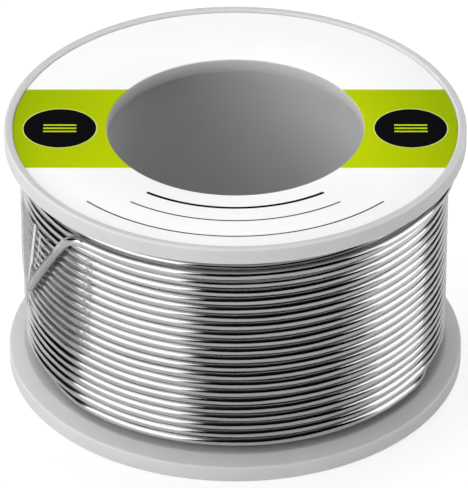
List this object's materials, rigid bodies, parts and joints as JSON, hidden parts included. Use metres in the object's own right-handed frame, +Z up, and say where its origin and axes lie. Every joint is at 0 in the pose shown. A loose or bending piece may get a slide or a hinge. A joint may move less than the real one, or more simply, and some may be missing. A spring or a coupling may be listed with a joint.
{
  "type": "solder wire spool",
  "caption": "Flanged spool of solder wire with a round through bore, a ring label on top and the wire's free end taped down.",
  "frame": {"origin": "centre of the lower flange's underside", "axes": "+Z up along the spool's bore, -Y towards the front, where the free end lies left of the middle"},
  "size_m": [0.048, 0.048, 0.0285],
  "materials": {
    "flange_plastic": "satin moulded",
    "tube_plastic": "satin extruded",
    "label_paper": "smooth printed",
    "solder_core": "bright wound wire",
    "solder_wire": "bright drawn wire",
    "tape_film": "clear film"
  },
  "bodies": {
    "root": {"hub_tube": "tube_plastic", "lower_flange": "flange_plastic", "upper_flange": "flange_plastic", "ring_label": "label_paper", "solder_inner_layers": "solder_core", "solder_outer_layer": "solder_wire", "clear_tape": "tape_film"}
  },
  "joints": []
}
